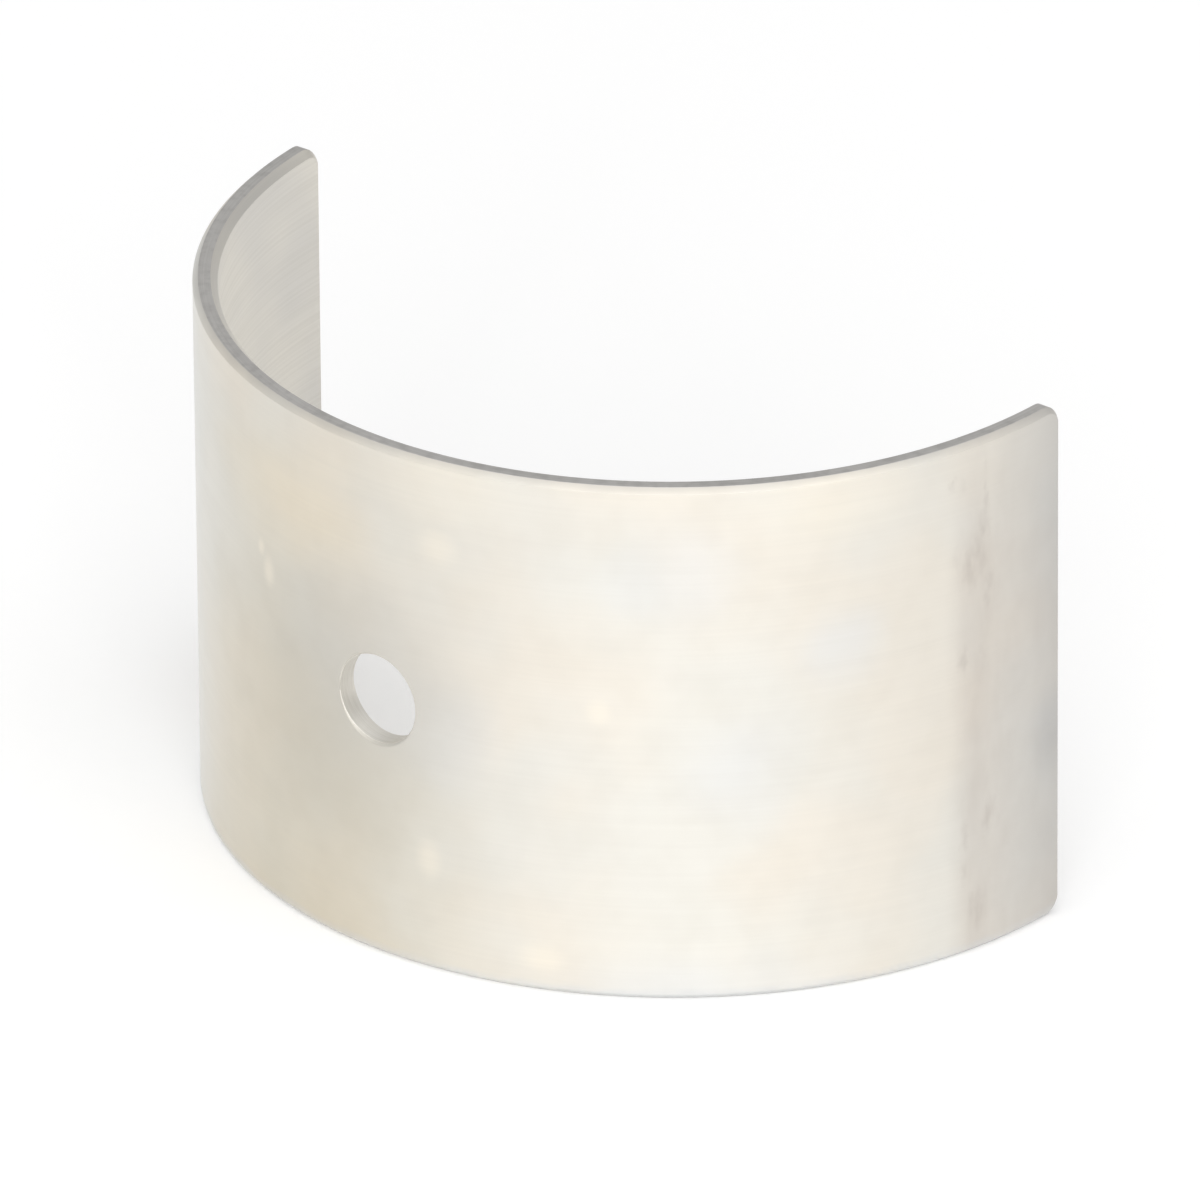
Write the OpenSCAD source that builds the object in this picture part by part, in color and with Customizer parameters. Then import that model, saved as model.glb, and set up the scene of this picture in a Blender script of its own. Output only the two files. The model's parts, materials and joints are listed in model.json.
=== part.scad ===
// Half of a plain engine bearing: a thin steel half ring with a bored inside,
// chamfered side rims, rounded joint corners and an oil hole through the middle of its arc.
// The journal axis lies along Z with the origin at mid-width. The middle of the arc
// points to -Y, and both joint faces lie on the plane y = 0.

/* [Wall] */
// Outside diameter, equal to the housing bore that it is pressed into
outside_d = 76; // [60:0.5:110]
// Thickness of the wall
wall_t = 2; // [1.6:0.05:3]
// Width along the journal axis
width = 44.8; // [24:0.2:70]

/* [Side rims] */
// Chamfer on the outer edge of each side rim
outer_chamfer = 0.45; // [0.1:0.05:0.7]
// Chamfer on the inner edge of each side rim
inner_chamfer = 0.6; // [0.1:0.05:0.8]

/* [Joint ends] */
// Radius of each corner between a side rim and a joint face
corner_r = 1.5; // [0.6:0.1:4]
// Edge break on the outer edge of each joint face
joint_break = 0.15; // [0.05:0.05:0.4]
// Depth of the bore relief where it meets a joint face
relief_depth = 0.04; // [0.02:0.01:0.15]
// Height of the bore relief above a joint face
relief_h = 9; // [4:0.5:16]

/* [Oil hole] */
// Diameter of the oil hole
oil_hole_d = 7.5; // [3:0.1:12]
// Edge break around the outer mouth of the oil hole, at its narrowest
outer_mouth_break = 0.05; // [0.02:0.01:0.4]
// Edge break around the inner mouth of the oil hole, at its narrowest
inner_mouth_break = 0.1; // [0.02:0.01:0.4]

/* [Hidden] */
$fn = 180;

half_arc = 180;
outside_r = outside_d / 2;
bore_r = outside_r - wall_t;
half_w = width / 2;
oil_hole_r = oil_hole_d / 2;

// Drop of the round outside from the middle of the arc to the side of the oil hole
mouth_drop = outside_r - sqrt(pow(outside_r, 2) - pow(oil_hole_r, 2));

// The relief is a second, slightly larger bore. Its centre lies past the joint plane, so that
// it leaves the true bore at relief_h and is relief_depth outside it at the joint faces.
relief_edge_r = bore_r + relief_depth;
relief_offset = (pow(relief_edge_r, 2) - pow(bore_r, 2)) / (2 * relief_h);
relief_r = sqrt(pow(relief_edge_r, 2) + pow(relief_offset, 2));

// Length by which each cut runs past the faces that it opens
overcut = 1;

// Section of the wall in a plane through the journal axis
module wall_section() {
  polygon([
    [bore_r + inner_chamfer, -half_w],
    [outside_r - outer_chamfer, -half_w],
    [outside_r, outer_chamfer - half_w],
    [outside_r, half_w - outer_chamfer],
    [outside_r - outer_chamfer, half_w],
    [bore_r + inner_chamfer, half_w],
    [bore_r, half_w - inner_chamfer],
    [bore_r, inner_chamfer - half_w]
  ]);
}

// The half ring, with its joint faces still square
module half_ring() {
  rotate([0, 0, half_arc])
    rotate_extrude(angle = half_arc)
      wall_section();
}

// Waste outside the rounded corners, through both ends of the half ring
module corner_waste() {
  for (side = [0, 1])
    mirror([0, 0, side])
      translate([0, -corner_r, half_w - corner_r])
        rotate([90, 0, 90])
          linear_extrude(outside_d + 2 * overcut, center = true)
            difference() {
              square(corner_r + overcut);
              circle(corner_r);
            }
}

// Waste outside the edge break along the outer edge of both joint faces
module joint_break_waste() {
  for (side = [0, 1])
    mirror([side, 0, 0])
      linear_extrude(width + 2 * overcut, center = true)
        polygon([
          [outside_r - joint_break - overcut, overcut],
          [outside_r + overcut, -joint_break - overcut],
          [outside_r + overcut, overcut]
        ]);
}

// Larger bore that thins the wall a little towards the joint faces
module bore_relief() {
  translate([0, relief_offset, 0])
    cylinder(h = width + 2 * overcut, r = relief_r, center = true);
}

// Drilled hole with both of its mouths broken, on the middle of the arc
module oil_drilling() {
  rotate([90, 0, 0])
    rotate_extrude()
      polygon([
        [0, bore_r - overcut],
        [oil_hole_r + inner_mouth_break + overcut, bore_r - overcut],
        [oil_hole_r, bore_r + inner_mouth_break],
        [oil_hole_r, outside_r - mouth_drop - outer_mouth_break],
        [oil_hole_r + mouth_drop + outer_mouth_break + overcut, outside_r + overcut],
        [0, outside_r + overcut]
      ]);
}

// The finished half bearing, pale and satin where it is plated
module bearing_shell() {
  color("#dcd8cc")
    difference() {
      half_ring();
      corner_waste();
      joint_break_waste();
      bore_relief();
      oil_drilling();
    }
}

bearing_shell();
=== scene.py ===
import json
import math
from collections import namedtuple

import bpy
from mathutils import Matrix, Vector


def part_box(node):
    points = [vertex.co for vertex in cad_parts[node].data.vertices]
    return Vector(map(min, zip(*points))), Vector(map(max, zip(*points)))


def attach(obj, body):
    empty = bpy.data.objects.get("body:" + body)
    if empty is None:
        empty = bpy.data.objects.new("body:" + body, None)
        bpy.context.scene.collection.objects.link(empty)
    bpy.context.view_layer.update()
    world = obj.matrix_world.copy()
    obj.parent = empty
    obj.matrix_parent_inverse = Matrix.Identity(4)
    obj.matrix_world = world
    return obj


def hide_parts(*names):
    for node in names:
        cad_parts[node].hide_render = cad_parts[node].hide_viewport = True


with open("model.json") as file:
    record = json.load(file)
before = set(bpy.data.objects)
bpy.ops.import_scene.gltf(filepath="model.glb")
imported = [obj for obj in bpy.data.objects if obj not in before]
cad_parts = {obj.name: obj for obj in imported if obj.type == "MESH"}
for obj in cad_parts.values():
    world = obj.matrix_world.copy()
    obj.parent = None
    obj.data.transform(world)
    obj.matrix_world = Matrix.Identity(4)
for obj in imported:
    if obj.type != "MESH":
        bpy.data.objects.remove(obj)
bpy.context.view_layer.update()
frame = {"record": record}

MM = 0.001

# Sizes of the half bearing that the frame gives
mounts = {mount["name"]: mount["dims"] for mount in frame["record"]["mounts"]}
low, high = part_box("bearing_shell")
OUTSIDE_R = mounts["housing_seat"]["r_mm"] * MM
BORE_R = mounts["journal"]["r_mm"] * MM
OIL_HOLE_R = mounts["oil_hole"]["r_mm"] * MM
HALF_WIDTH = (high.z - low.z) / 2
FLOOR_Z = low.z
WALL = OUTSIDE_R - BORE_R
# Angle from mid-arc to a joint face
HALF_ARC = math.pi / 2

# Sizes of its edges, as the solid has them
OUTER_CHAMFER = 0.45 * MM
INNER_CHAMFER = 0.60 * MM
CORNER_R = 1.5 * MM
JOINT_BREAK = 0.15 * MM
RELIEF_DEPTH = 0.04 * MM
RELIEF_HEIGHT = 9 * MM
OUTER_MOUTH_BREAK = 0.05 * MM
INNER_MOUTH_BREAK = 0.1 * MM
# Soft round that tumbling leaves on every edge, and the narrow strip that the mesh keeps beside an edge
EDGE_ROUND = 0.08 * MM
EDGE_FLANK = 0.25 * MM

# How finely the mesh is cut
ARC_STEPS = 200
WIDTH_STEPS = 44
CORNER_STEPS = 10
ROUND_STEPS = 3
FACE_STEPS = 36
# Above 1, the steps of the round faces gather at the oil hole
FACE_EASE = 1.35

# Finishes of the mesh, in the order of its material slots
HOLE_ZONE, BACK_ZONE, EDGE_ZONE, BORE_ZONE = range(4)


# Mesh of the half bearing

def bore_radius(angle):
    """Radius of the bore at an angle from mid-arc. The relief widens it a little near the joint faces."""
    edge = BORE_R + RELIEF_DEPTH
    offset = (edge ** 2 - BORE_R ** 2) / (2 * RELIEF_HEIGHT)
    relief = math.sqrt(edge ** 2 + (offset * math.cos(angle)) ** 2) - offset * math.cos(angle)
    return max(BORE_R, relief)


def on_ring(angle, height, radius):
    """A point at an angle from mid-arc, which faces -Y."""
    return Vector((radius * math.sin(angle), -radius * math.cos(angle), height))


def softened(corners, radius):
    """The points of a section whose inner corners are turned into short round stretches."""
    points = [corners[0]]
    for before, corner, after in zip(corners, corners[1:], corners[2:]):
        back = (before - corner).normalized()
        ahead = (after - corner).normalized()
        reach = radius * math.tan((math.pi - back.angle(ahead)) / 2)
        start = corner + back * reach
        end = corner + ahead * reach
        for step in range(ROUND_STEPS + 1):
            t = step / ROUND_STEPS
            points.append(start.lerp(corner, t).lerp(corner.lerp(end, t), t))
    return points + [corners[-1]]


def plate_outline():
    """Stations round the unrolled plate: a place (arc, height) and the direction out of the plate there."""
    stations = []
    for side in range(4):
        turn = side * math.pi / 2
        out = Vector((round(math.cos(turn)), round(math.sin(turn))))
        along = Vector((-out.y, out.x))
        at_joint = side % 2 == 0
        depth = OUTSIDE_R * HALF_ARC if at_joint else HALF_WIDTH
        reach = (HALF_WIDTH if at_joint else OUTSIDE_R * HALF_ARC) - CORNER_R
        steps = WIDTH_STEPS if at_joint else ARC_STEPS
        for step in range(steps):
            stations.append((out * depth + along * reach * (2 * step / steps - 1), out))
        centre = out * (depth - CORNER_R) + along * reach
        for step in range(CORNER_STEPS):
            sweep = math.pi / 2 * step / CORNER_STEPS
            aim = out * math.cos(sweep) + along * math.sin(sweep)
            stations.append((centre + aim * CORNER_R, aim))
    return stations


def edge_section(place, out):
    """Section over the plate's edge from the outside to the bore, as (angle, height, radius)."""
    rim_share = abs(out.y)
    outer = JOINT_BREAK + (OUTER_CHAMFER - JOINT_BREAK) * rim_share
    inner = JOINT_BREAK + (INNER_CHAMFER - JOINT_BREAK) * rim_share
    corners = [
        Vector((outer + EDGE_FLANK, 0)),
        Vector((outer, 0)),
        Vector((0, outer)),
        Vector((0, WALL - inner)),
        Vector((inner, WALL)),
        Vector((inner + EDGE_FLANK, WALL)),
    ]
    section = []
    for inset, depth in softened(corners, EDGE_ROUND):
        spot = place - out * inset
        angle = spot.x / OUTSIDE_R
        radius = OUTSIDE_R - depth * (OUTSIDE_R - bore_radius(angle)) / WALL
        section.append((angle, spot.y, radius))
    return section


def hole_section(turn):
    """Section of the oil hole from the bore to the outside, as (angle, height, radius), at a turn round
    its axis."""
    across = math.cos(turn)

    def surface(radius, reach):
        """Depth of a round face at a reach from the hole's axis."""
        return math.sqrt(radius ** 2 - (reach * across) ** 2)

    mouth_drop = OUTSIDE_R - math.sqrt(OUTSIDE_R ** 2 - OIL_HOLE_R ** 2)
    outer_fall = OUTSIDE_R - surface(OUTSIDE_R, OIL_HOLE_R)
    inner_fall = BORE_R - surface(BORE_R, OIL_HOLE_R)
    inner_mouth = OIL_HOLE_R + INNER_MOUTH_BREAK + inner_fall
    outer_mouth = OIL_HOLE_R + OUTER_MOUTH_BREAK + mouth_drop - outer_fall
    corners = [
        Vector((inner_mouth + EDGE_FLANK, surface(BORE_R, inner_mouth + EDGE_FLANK))),
        Vector((inner_mouth, surface(BORE_R, inner_mouth))),
        Vector((OIL_HOLE_R, BORE_R + INNER_MOUTH_BREAK)),
        Vector((OIL_HOLE_R, OUTSIDE_R - mouth_drop - OUTER_MOUTH_BREAK)),
        Vector((outer_mouth, surface(OUTSIDE_R, outer_mouth))),
        Vector((outer_mouth + EDGE_FLANK, surface(OUTSIDE_R, outer_mouth + EDGE_FLANK))),
    ]
    section = []
    for reach, depth in softened(corners, EDGE_ROUND):
        sideways = reach * across
        section.append((math.atan2(sideways, depth), reach * math.sin(turn), math.hypot(sideways, depth)))
    return section


def between(start, end, ease):
    """Places (angle, height) on a round face between the ends of two sections, without those ends."""
    for step in range(1, FACE_STEPS):
        t = ease(step / FACE_STEPS)
        angle = start[0] + (end[0] - start[0]) * t
        height = start[1] + (end[1] - start[1]) * t
        yield angle, height


def from_hole(t):
    return t ** FACE_EASE


def to_hole(t):
    return 1 - (1 - t) ** FACE_EASE


def bearing_mesh():
    """The whole surface as one closed band: through the oil hole, over the outside, round the edge and
    back over the bore."""
    stations = plate_outline()
    columns = []
    for index, (place, out) in enumerate(stations):
        turn = 2 * math.pi * (index - WIDTH_STEPS / 2) / len(stations)
        hole = hole_section(turn)
        edge = edge_section(place, out)
        column = [on_ring(*point) for point in hole]
        column += [on_ring(a, h, OUTSIDE_R) for a, h in between(hole[-1], edge[0], from_hole)]
        column += [on_ring(*point) for point in edge]
        column += [on_ring(a, h, bore_radius(a)) for a, h in between(edge[-1], hole[0], to_hole)]
        columns.append(column)

    rows = len(columns[0])
    verts = [point for column in columns for point in column]
    faces = []
    for index in range(len(columns)):
        here = index * rows
        there = (index + 1) % len(columns) * rows
        for row in range(rows):
            up = (row + 1) % rows
            faces.append((here + row, here + up, there + up, there + row))
    mesh = bpy.data.meshes.new("bearing_shell")
    mesh.from_pydata(verts, [], faces)

    # Rows of the band. The outside and the bore each take the chamfers and mouth breaks beside them
    beside = ROUND_STEPS + 2
    zones = [BORE_ZONE] * beside
    zones += [HOLE_ZONE] * (len(hole) - 1 - 2 * beside)
    zones += [BACK_ZONE] * (beside + FACE_STEPS + beside)
    zones += [EDGE_ZONE] * (len(edge) - 1 - 2 * beside)
    zones += [BORE_ZONE] * (beside + FACE_STEPS)
    mesh.polygons.foreach_set("material_index", zones * len(columns))
    mesh.polygons.foreach_set("use_smooth", [True] * len(faces))
    mesh.update()
    return mesh


# Tools for the materials

# Sockets of a Mix node that mixes colours: its share, the colour below, the colour above and the result
MIX_SHARE, MIX_BELOW, MIX_ABOVE, MIX_RESULT = 0, 6, 7, 2

Position = namedtuple("Position", "arc height radius depth")


def linear(code):
    """An sRGB hex colour as linear values with alpha."""
    shares = [int(code[i:i + 2], 16) / 255 for i in (1, 3, 5)]
    return tuple(s / 12.92 if s <= 0.04045 else ((s + 0.055) / 1.055) ** 2.4 for s in shares) + (1.0,)


def add(tree, kind, inputs=None, output=0, **settings):
    """Adds a node and gives back one of its outputs. Its inputs take values, or outputs that feed them."""
    node = tree.nodes.new(kind)
    for name, value in settings.items():
        setattr(node, name, value)
    for socket, value in (inputs or {}).items():
        if isinstance(value, bpy.types.NodeSocket):
            tree.links.new(value, node.inputs[socket])
        else:
            node.inputs[socket].default_value = value
    return node.outputs[output]


def new_metal(name):
    """A metal material and its node tree. Its shader keeps the default IOR."""
    material = bpy.data.materials.new(name)
    material.use_nodes = True
    material.node_tree.nodes["Principled BSDF"].inputs["Metallic"].default_value = 1.0
    return material, material.node_tree


def finished(material, colour, relief, bump, depth, unevenness, roughness):
    """Gives a metal its colour, the bump of a relief of a depth in mm, and a roughness that varies a
    little."""
    tree = material.node_tree
    shader = tree.nodes["Principled BSDF"]
    smoothest, roughest = roughness
    normal = add(tree, "ShaderNodeBump", {"Strength": bump, "Distance": depth * MM, "Height": relief})
    rough = add(tree, "ShaderNodeMapRange", {"Value": unevenness, "To Min": smoothest, "To Max": roughest})
    tree.links.new(colour, shader.inputs["Base Color"])
    tree.links.new(rough, shader.inputs["Roughness"])
    tree.links.new(normal, shader.inputs["Normal"])
    return material


def position(tree):
    """Arc from mid-arc, height along the axis, radius and depth towards the front of a point, in mm."""
    point = add(tree, "ShaderNodeTexCoord", output="Object")
    axes = add(tree, "ShaderNodeSeparateXYZ", {0: point}).node.outputs
    front = add(tree, "ShaderNodeMath", {0: axes["Y"], 1: -1.0}, operation="MULTIPLY")
    angle = add(tree, "ShaderNodeMath", {0: axes["X"], 1: front}, operation="ARCTAN2")
    arc = add(tree, "ShaderNodeMath", {0: angle, 1: OUTSIDE_R / MM}, operation="MULTIPLY")
    height = add(tree, "ShaderNodeMath", {0: axes["Z"], 1: 1 / MM}, operation="MULTIPLY")
    flat = add(tree, "ShaderNodeVectorMath", {0: point, 1: (1 / MM, 1 / MM, 0)}, operation="MULTIPLY")
    radius = add(tree, "ShaderNodeVectorMath", {0: flat}, "Value", operation="LENGTH")
    depth = add(tree, "ShaderNodeMath", {0: front, 1: 1 / MM}, operation="MULTIPLY")
    return Position(arc, height, radius, depth)


def cloud(tree, across, along, grain, span, stretch=(1.0, 1.0)):
    """Soft random patches from 0 to 1, whose size in mm is the grain. The span of the noise that fades
    from 0 to 1 sets how sharp they are, and a stretch below 1 draws them out into lines."""
    spot = add(tree, "ShaderNodeCombineXYZ", {0: across, 1: along})
    spot = add(tree, "ShaderNodeVectorMath", {0: spot, 1: (*stretch, 1.0)}, operation="MULTIPLY")
    noise = add(tree, "ShaderNodeTexNoise", {"Vector": spot, "Scale": 1 / grain, "Detail": 2.0})
    return add(tree, "ShaderNodeMapRange", {"Value": noise, "From Min": span[0], "From Max": span[1]},
               interpolation_type="SMOOTHSTEP")


def pushed(tree, plate, source, grain, detail, reach):
    """A place on the plate, pushed about by up to half a reach in mm, so that marks there get loose
    edges."""
    inputs = {"Vector": source, "Scale": 1 / grain, "Detail": detail}
    noise = add(tree, "ShaderNodeTexNoise", inputs, "Color")
    push = add(tree, "ShaderNodeVectorMath", {0: noise, 1: (0.5, 0.5, 0.5)}, operation="SUBTRACT")
    push = add(tree, "ShaderNodeVectorMath", {0: push, 1: (*reach, 0.0)}, operation="MULTIPLY")
    return add(tree, "ShaderNodeVectorMath", {0: plate, 1: push}, operation="ADD")


def marks(tree, plate, places):
    """The strongest of some soft round marks at each point, 1 in the middle of a mark and 0 at its edge."""
    strongest = None
    for arc, height, half_length, half_height in places:
        size = (half_length, half_height, 1)
        offset = add(tree, "ShaderNodeVectorMath", {0: plate, 1: (arc, height, 0)}, operation="SUBTRACT")
        share = add(tree, "ShaderNodeVectorMath", {0: offset, 1: size}, operation="DIVIDE")
        span = add(tree, "ShaderNodeVectorMath", {0: share}, "Value", operation="LENGTH")
        mark = add(tree, "ShaderNodeMapRange", {"Value": span, "From Min": 1.0, "From Max": 0.1},
                   interpolation_type="SMOOTHSTEP")
        if strongest:
            mark = add(tree, "ShaderNodeMath", {0: strongest, 1: mark}, operation="MAXIMUM")
        strongest = mark
    return strongest


def wash(tree, colour, mask, code, most=1.0):
    """Lays a colour over another one where a mask is, and covers at most a share of it."""
    share = add(tree, "ShaderNodeMath", {0: mask, 1: most}, operation="MULTIPLY")
    inputs = {MIX_SHARE: share, MIX_BELOW: colour, MIX_ABOVE: linear(code)}
    return add(tree, "ShaderNodeMix", inputs, MIX_RESULT, data_type="RGBA")


# Outside of the half bearing

# Soft marks on the outside, as (arc, height, half length, half height) in mm from mid-arc and mid-width.
# Some are clouds of the bath; others are painted shade and sheen, as noted at each table
PALE_SPOTS = (
    (-12.5, 6.6, 1.1, 1.9),
    (-13.6, 8.3, 0.7, 1.0),
    (6.0, 15.0, 2.6, 2.4),
    (19.2, 2.8, 1.5, 1.6),
    (4.9, -12.6, 1.6, 2.4),
    (14.5, -19.4, 2.6, 1.8),
    # The two broad marks below lighten the outside along the upper rim
    (38.0, 21.0, 9.0, 7.0),
    (7.0, 21.0, 9.0, 6.0),
)
COOL_CLOUDS = (
    (25.5, 14.0, 7.5, 6.5),
    (30.5, -1.5, 6.0, 7.0),
    (38.5, 7.0, 5.0, 5.5),
    (6.5, -1.5, 7.0, 7.5),
    (27.0, -21.5, 15.0, 5.5),
)
WARM_CLOUDS = (
    (-10.0, 14.0, 13.0, 8.0),
)
# Painted sheen: a pale, cool band far left of mid-arc
PAINTED_SIDE_SHEEN = (
    (-35.0, 0.0, 18.0, 90.0),
)
# Painted shade round the oil hole, neutral in tone, which joins the broad painted shade
PAINTED_HOLE_SHADE = (
    (-5.0, -2.0, 17.0, 17.0),
)
# A cooler grey halo round the oil hole
HOLE_RING = (
    (0.0, 2.5, 14.0, 12.0),
)
# Broad painted shade left of mid-arc, warm in tone: where it rises and falls along the arc, and how its
# share falls with the height, so that it is darkest towards the lower rim
SHADE_RISE = {"From Min": -36.0, "From Max": -11.0}
SHADE_FALL = {"From Min": 16.0, "From Max": -8.0}
SHADE_SHARE = {"From Min": -22.0, "From Max": 22.0, "To Min": 0.46, "To Max": 0.1}

# Marks near both joint faces, at the same distance from mid-arc
END_SPECKS = (
    (48.6, 19.0, 1.1, 1.2),
    (51.4, 16.8, 0.4, 5.2),
    (51.3, 15.0, 0.9, 1.8),
    (50.0, 12.0, 2.6, 3.2),
    (51.7, 9.6, 1.2, 2.6),
    (49.1, 3.6, 0.7, 1.8),
    (51.1, 3.7, 0.6, 1.5),
    (49.2, -13.2, 0.6, 4.0),
    (51.8, -11.0, 1.2, 2.2),
    (50.6, -18.6, 1.5, 2.6),
)
# Painted shade near both joint faces
PAINTED_END_SHADE_MARKS = (
    (58.6, -6.0, 3.4, 6.0),
)
# Stain near both joint faces: where it begins and fades along the arc, where it fades towards the upper
# rim, how much its streaks vary it, and where the painted shade of the end sets in
STAIN_BEGIN = {"From Min": 47.2, "From Max": 50.4}
STAIN_FADE = {"From Min": 51.5, "From Max": 56.0, "To Min": 1.0, "To Max": 0.5}
STAIN_TOP = {"From Min": 22.0, "From Max": 11.0, "To Min": 0.3}
STAIN_STREAK = {1: 0.25, 2: 0.75}
PAINTED_END_SHADE = {"From Min": 52.0, "From Max": 59.6}

# Uneven fringes along the upper rim, which is greyer there, and along the lower one, on which it stands,
# which is painted shade: how far their edges wander, and the distances from mid-width over which they set
# in
RIM_HEIGHT = HALF_WIDTH / MM
UPPER_FRINGE_WANDER = 0.2
UPPER_FRINGE_SPAN = {"From Min": RIM_HEIGHT - 0.5, "From Max": RIM_HEIGHT + 0.15}
FOOT_SHADE_WANDER = 0.4
FOOT_SHADE_SPAN = {"From Min": RIM_HEIGHT - 1.0, "From Max": RIM_HEIGHT + 0.1}

# Share of the flash's grain in the relief, beside the rolling lines
GRAIN_SHARE = 0.7


def bath_clouds_and_painted_light(tree, colour, at, plate):
    """Cloudy colour of the bath: cooler, warmer and paler clouds. Over it lie painted shade, a broad band
    left of mid-arc that is stronger towards the lower rim and neutral round the oil hole, a painted sheen
    far left of mid-arc, and a cooler grey halo round the oil hole."""
    loose = pushed(tree, plate, plate, grain=9.0, detail=1.0, reach=(6.0, 6.0))
    colour = wash(tree, colour, marks(tree, loose, COOL_CLOUDS), "#E2E3E4", most=0.45)
    loose_arc = add(tree, "ShaderNodeSeparateXYZ", {0: loose}, "X")
    rise = add(tree, "ShaderNodeMapRange", {"Value": loose_arc, **SHADE_RISE},
               interpolation_type="SMOOTHSTEP")
    fall = add(tree, "ShaderNodeMapRange", {"Value": loose_arc, **SHADE_FALL},
               interpolation_type="SMOOTHSTEP")
    share = add(tree, "ShaderNodeMapRange", {"Value": at.height, **SHADE_SHARE})
    shade = add(tree, "ShaderNodeMath", {0: rise, 1: fall}, operation="MULTIPLY")
    shade = add(tree, "ShaderNodeMath", {0: shade, 1: share}, operation="MULTIPLY")
    # Painted shade: a warm darkening left of mid-arc, strongest towards the lower rim
    colour = wash(tree, colour, shade, "#CFC6AF")
    # Painted sheen far left of mid-arc
    colour = wash(tree, colour, marks(tree, loose, PAINTED_SIDE_SHEEN), "#EAECEB", most=0.55)
    # Painted shade round the oil hole
    colour = wash(tree, colour, marks(tree, loose, PAINTED_HOLE_SHADE), "#CDC8BC", most=0.6)
    colour = wash(tree, colour, marks(tree, loose, HOLE_RING), "#D2D4D6", most=0.3)
    colour = wash(tree, colour, marks(tree, loose, WARM_CLOUDS), "#EBE0CA", most=0.4)
    return wash(tree, colour, marks(tree, plate, PALE_SPOTS), "#F2ECE0", most=0.5)


def handling_stain_and_end_shade(tree, colour, at, plate):
    """Handling stain near each joint face: a faint brownish band with small specks, and painted shade, a
    cool grey, towards each end.
    """
    end = add(tree, "ShaderNodeMath", {0: at.arc}, operation="ABSOLUTE")
    end_plate = add(tree, "ShaderNodeCombineXYZ", {0: end, 1: at.height})
    begin = add(tree, "ShaderNodeMapRange", {"Value": end, **STAIN_BEGIN}, interpolation_type="SMOOTHSTEP")
    fade = add(tree, "ShaderNodeMapRange", {"Value": end, **STAIN_FADE})
    top = add(tree, "ShaderNodeMapRange", {"Value": at.height, **STAIN_TOP})
    streak = cloud(tree, at.arc, at.height, grain=1.6, span=(0.3, 0.75), stretch=(1.0, 0.4))
    band = add(tree, "ShaderNodeMath", {0: streak, **STAIN_STREAK}, operation="MULTIPLY_ADD")
    for share in (begin, fade, top):
        band = add(tree, "ShaderNodeMath", {0: band, 1: share}, operation="MULTIPLY")
    colour = wash(tree, colour, band, "#B6AAA2", most=0.33)

    # Painted shade: the outside turns cool grey towards each joint face
    end_shade = add(tree, "ShaderNodeMapRange", {"Value": end, **PAINTED_END_SHADE})
    colour = wash(tree, colour, end_shade, "#ADAEB1", most=0.39)
    colour = wash(tree, colour, marks(tree, end_plate, PAINTED_END_SHADE_MARKS), "#A8A9AC", most=0.2)

    ragged = pushed(tree, end_plate, plate, grain=0.9, detail=2.0, reach=(0.9, 2.4))
    crumbs = cloud(tree, at.arc, at.height, grain=0.9, span=(0.3, 0.7), stretch=(1.0, 0.35))
    specks = marks(tree, ragged, END_SPECKS)
    specks = add(tree, "ShaderNodeMath", {0: specks, 1: crumbs}, operation="MULTIPLY")
    return wash(tree, colour, specks, "#9A8C85", most=0.17)


def rim_fringes_and_painted_foot_shade(tree, colour, at):
    """A greyer fringe along the upper rim, and painted shade in a neutral grey along the lower one, on
    which it stands, in uneven fringes of about half a millimetre."""
    ragged = cloud(tree, at.arc, at.height, grain=1.2, span=(0.25, 0.75), stretch=(0.3, 1.0))
    # A greyer, uneven fringe along the upper rim
    upper_fringe = add(tree, "ShaderNodeMath", {0: ragged, 1: UPPER_FRINGE_WANDER, 2: at.height}, operation="MULTIPLY_ADD")
    upper_fringe = add(tree, "ShaderNodeMapRange", {"Value": upper_fringe, **UPPER_FRINGE_SPAN}, interpolation_type="SMOOTHSTEP")
    colour = wash(tree, colour, upper_fringe, "#BDBAB5", most=0.4)
    # Painted shade along the lower rim, where it meets the floor
    down = add(tree, "ShaderNodeMath", {0: at.height, 1: -1.0}, operation="MULTIPLY")
    foot_shade = add(tree, "ShaderNodeMath", {0: ragged, 1: FOOT_SHADE_WANDER, 2: down}, operation="MULTIPLY_ADD")
    foot_shade = add(tree, "ShaderNodeMapRange", {"Value": foot_shade, **FOOT_SHADE_SPAN}, interpolation_type="SMOOTHSTEP")
    return wash(tree, colour, foot_shade, "#D8DADC", most=0.6)


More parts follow.
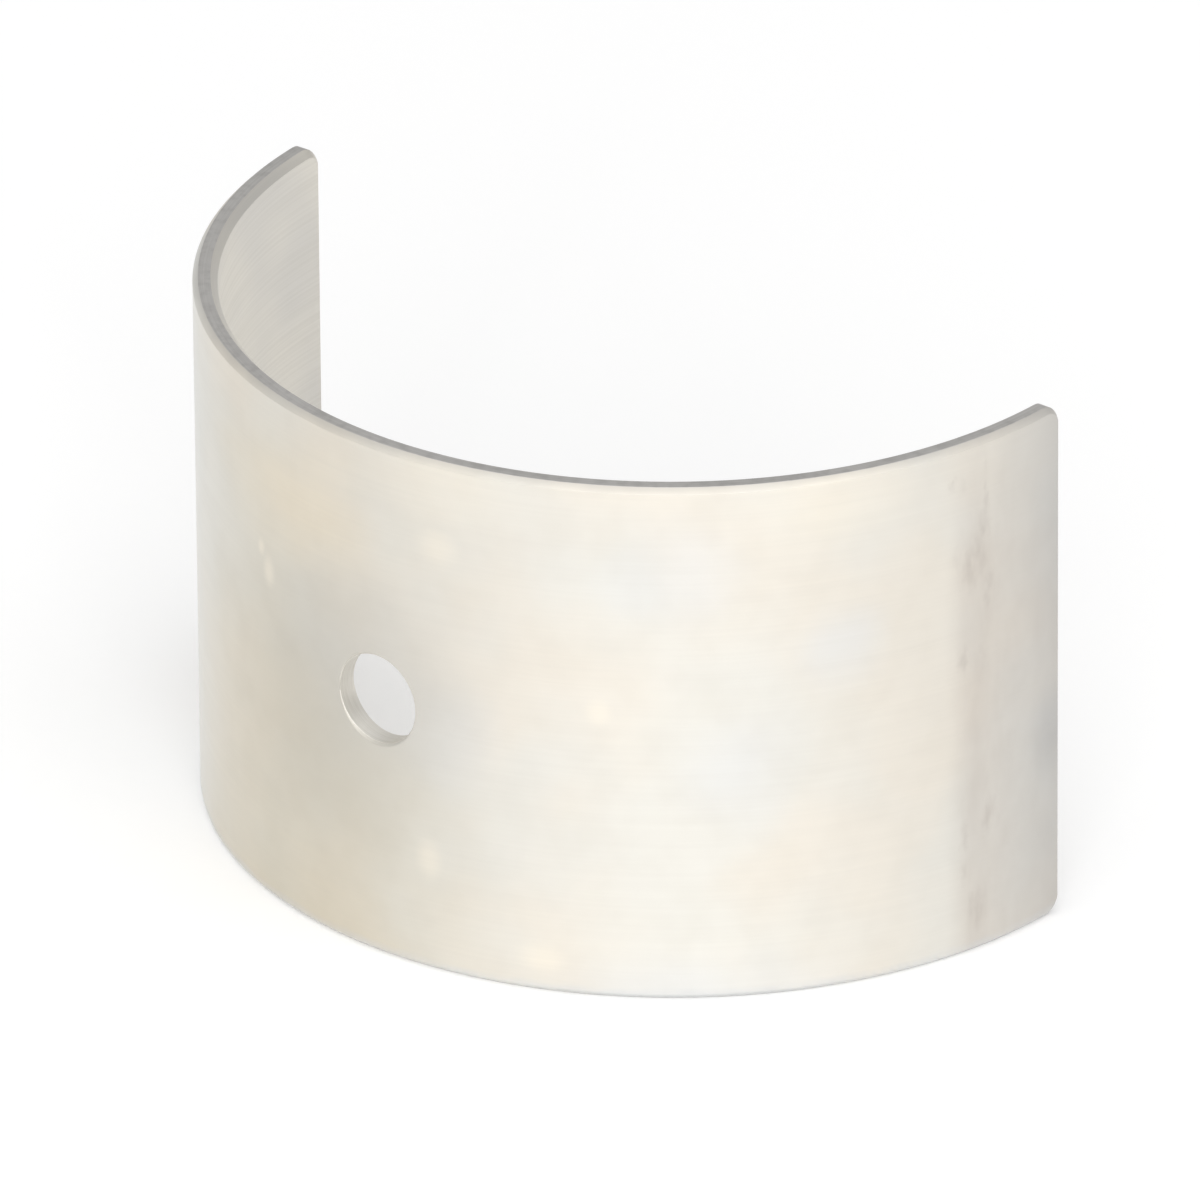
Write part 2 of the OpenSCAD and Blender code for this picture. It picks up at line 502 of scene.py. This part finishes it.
def tin_flash_on_rolled_steel():
    """Tin flash on rolled strip steel. A flash this thin is satin and pale, a little uneven in colour from
    the bath, and it still shows the rolling lines along the arc. Its colour also holds painted shade and a
    painted sheen."""
    material, tree = new_metal("tin_flash_on_rolled_steel")
    at = position(tree)
    plate = add(tree, "ShaderNodeCombineXYZ", {0: at.arc, 1: at.height})
    # Cream of the bath, in broad patches of about 20 mm and small ones of 5 mm
    broad = cloud(tree, at.arc, at.height, grain=19.0, span=(0.38, 0.62))
    small = cloud(tree, at.height, at.arc, grain=5.0, span=(0.35, 0.7))
    colour = wash(tree, linear("#E9E4DB"), broad, "#E6E4DE")
    colour = wash(tree, colour, small, "#DDD9D2", most=0.1)
    colour = bath_clouds_and_painted_light(tree, colour, at, plate)
    colour = handling_stain_and_end_shade(tree, colour, at, plate)
    colour = rim_fringes_and_painted_foot_shade(tree, colour, at)

    # Rolling lines and the grain of the flash. Both are drawn several times coarser than they are, to show
    lines = cloud(tree, at.arc, at.height, grain=0.3, span=(0.25, 0.75), stretch=(0.02, 1.0))
    broad_lines = cloud(tree, at.arc, at.height, grain=1.1, span=(0.3, 0.7), stretch=(0.03, 1.0))
    flash = cloud(tree, at.arc, at.height, grain=0.45, span=(0.25, 0.75))
    colour = wash(tree, colour, lines, "#CFCBC4", most=0.06)
    colour = wash(tree, colour, broad_lines, "#D6D2CB", most=0.06)
    relief = add(tree, "ShaderNodeMath", {0: flash, 1: GRAIN_SHARE, 2: lines}, operation="MULTIPLY_ADD")
    return finished(material, colour, relief, bump=0.5, depth=0.004,
                    unevenness=small, roughness=(0.66, 0.72))


# Rims, bore and oil hole

def tin_flash_on_turned_steel():
    """Tin flash on turned steel. The rims keep the fine rings of the tool, so they look tighter than the
    rolled outside. Their greyer colour is partly those rings and partly painted shade. The broached joint
    faces share it, with their lines along the axis."""
    material, tree = new_metal("tin_flash_on_turned_steel")
    at = position(tree)
    broad = cloud(tree, at.arc, at.radius, grain=9.0, span=(0.35, 0.65))
    # Rings of a 0.1 mm feed, drawn twice as coarse
    rings = cloud(tree, at.radius, at.arc, grain=0.2, span=(0.3, 0.7), stretch=(1.0, 0.01))
    # Patches of 1 mm where the flash took unevenly on the cut edge
    patches = cloud(tree, at.arc, at.radius, grain=1.1, span=(0.4, 0.7))
    # The grey base holds painted shade of the rims as well as their own grey
    colour = wash(tree, linear("#D3D1CE"), broad, "#CBC9C6")
    colour = wash(tree, colour, rings, "#BAB8B5", most=0.45)
    colour = wash(tree, colour, patches, "#A5A3A0", most=0.3)
    return finished(material, colour, rings, bump=0.6, depth=0.004,
                    unevenness=rings, roughness=(0.46, 0.56))


def bored_white_metal():
    """White metal of the lining after fine boring: soft grey with a warm tone, and even lines of the feed
    round it."""
    material, tree = new_metal("bored_white_metal")
    at = position(tree)
    broad = cloud(tree, at.arc, at.height, grain=16.0, span=(0.35, 0.65))
    # Boring lines of a 0.1 mm feed, drawn coarser to show
    lines = cloud(tree, at.arc, at.height, grain=0.25, span=(0.3, 0.7), stretch=(0.01, 1.0))
    colour = wash(tree, linear("#E1DDD4"), broad, "#D8D5CF")
    colour = wash(tree, colour, lines, "#C9C5BD", most=0.18)
    return finished(material, colour, lines, bump=0.35, depth=0.003,
                    unevenness=lines, roughness=(0.47, 0.53))


def tin_flash_on_drilled_steel():
    """Tin flash on drilled steel. The wall of the hole is pale, with the rings that the drill leaves. Its
    colour, paler than the flash outside, is partly painted light.
    """
    material, tree = new_metal("tin_flash_on_drilled_steel")
    at = position(tree)
    broad = cloud(tree, at.arc, at.height, grain=2.5, span=(0.35, 0.65))
    # Drill rings of a 0.08 mm feed, drawn coarser to show
    rings = cloud(tree, at.depth, at.height, grain=0.16, span=(0.3, 0.7), stretch=(1.0, 0.05))
    # Pale base, raised partly as painted light on the wall of the hole
    colour = wash(tree, linear("#F4F1EA"), broad, "#EEEBE3")
    colour = wash(tree, colour, rings, "#D9D5CC", most=0.35)
    return finished(material, colour, rings, bump=0.6, depth=0.004,
                    unevenness=rings, roughness=(0.45, 0.55))


# The half bearing, with its finishes in the order of the zones

shell = bpy.data.objects.new("bearing_shell_visual", bearing_mesh())
bpy.context.scene.collection.objects.link(shell)
for finish in (
    tin_flash_on_drilled_steel,
    tin_flash_on_rolled_steel,
    tin_flash_on_turned_steel,
    bored_white_metal,
):
    shell.data.materials.append(finish())
normals = shell.modifiers.new("flat_faces", "WEIGHTED_NORMAL")
normals.mode = "FACE_AREA"
normals.weight = 100
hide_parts("bearing_shell")
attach(shell, "root")


# Floor, light and camera

FLOOR_SIZE = 8.0
FLOOR_LIFT = 0.06
STUDIO_LIGHT = 0.56
CAMERA_AZIMUTH = 38.55
CAMERA_ELEVATION = 27.37
CAMERA_ROLL = -0.45
CAMERA_DISTANCE = 1.946
CAMERA_LENS = 738.5
CAMERA_CLIP = 20.0
AIM_RIGHT = -6.14 * MM
AIM_UP = -6.04 * MM


def matte_white_paper():
    """Matte white paper. It glows a little to the camera and to reflections, so that it reads as white."""
    material = bpy.data.materials.new("matte_white_paper")
    material.use_nodes = True
    material.cycles.emission_sampling = "NONE"
    tree = material.node_tree
    shader = tree.nodes["Principled BSDF"]
    shader.inputs["Base Color"].default_value = linear("#FAFAFA")
    shader.inputs["Roughness"].default_value = 0.9
    shader.inputs["Emission Color"].default_value = linear("#FFFFFF")
    rays = add(tree, "ShaderNodeLightPath").node.outputs
    seen = rays["Is Camera Ray"]
    for kind in ("Is Glossy Ray", "Is Transmission Ray"):
        seen = add(tree, "ShaderNodeMath", {0: seen, 1: rays[kind]}, operation="MAXIMUM")
    lift = add(tree, "ShaderNodeMath", {0: seen, 1: FLOOR_LIFT}, operation="MULTIPLY")
    tree.links.new(lift, shader.inputs["Emission Strength"])
    return material


def direction(azimuth, elevation):
    """Unit vector from the object towards a place round it. Azimuth 0 is in front, at -Y."""
    turn = math.radians(azimuth)
    rise = math.radians(elevation)
    return Vector((math.sin(turn) * math.cos(rise), -math.cos(turn) * math.cos(rise), math.sin(rise)))


def softbox(name, azimuth, elevation, distance, size, power):
    """A soft lamp, as wide as it is high, that faces the object."""
    lamp = bpy.data.lights.new(name, "AREA")
    lamp.size = size
    lamp.energy = power
    box = bpy.data.objects.new(name, lamp)
    towards = direction(azimuth, elevation)
    box.location = towards * distance
    box.rotation_euler = towards.to_track_quat("Z", "Y").to_euler()
    bpy.context.scene.collection.objects.link(box)


half = FLOOR_SIZE / 2
corners = [(-half, -half, FLOOR_Z), (half, -half, FLOOR_Z), (half, half, FLOOR_Z), (-half, half, FLOOR_Z)]
floor_mesh = bpy.data.meshes.new("paper_floor")
floor_mesh.from_pydata(corners, [], [range(len(corners))])
floor_mesh.materials.append(matte_white_paper())
floor = bpy.data.objects.new("paper_floor", floor_mesh)
bpy.context.scene.collection.objects.link(floor)

softbox("key_softbox", CAMERA_AZIMUTH, elevation=18, distance=2.4, size=1.4, power=24.0)
softbox("ceiling_softbox", CAMERA_AZIMUTH, elevation=72, distance=1.7, size=2.6, power=19.0)

world = bpy.data.worlds.new("studio")
world.use_nodes = True
sky = world.node_tree.nodes["Background"]
sky.inputs["Color"].default_value = linear("#FFFFFF")
sky.inputs["Strength"].default_value = STUDIO_LIGHT
bpy.context.scene.world = world
bpy.context.scene.view_settings.view_transform = "Standard"

back = direction(CAMERA_AZIMUTH, CAMERA_ELEVATION)
right = Vector((0, 0, 1)).cross(back).normalized()
up = back.cross(right)
lens = bpy.data.cameras.new("camera")
lens.lens = CAMERA_LENS
lens.clip_end = CAMERA_CLIP
camera = bpy.data.objects.new("camera", lens)
stand = right * AIM_RIGHT + up * AIM_UP + back * CAMERA_DISTANCE
turned = Matrix((right, up, back)).transposed() @ Matrix.Rotation(math.radians(CAMERA_ROLL), 3, "Z")
camera.matrix_world = Matrix.Translation(stand) @ turned.to_4x4()
bpy.context.scene.collection.objects.link(camera)
bpy.context.scene.camera = camera
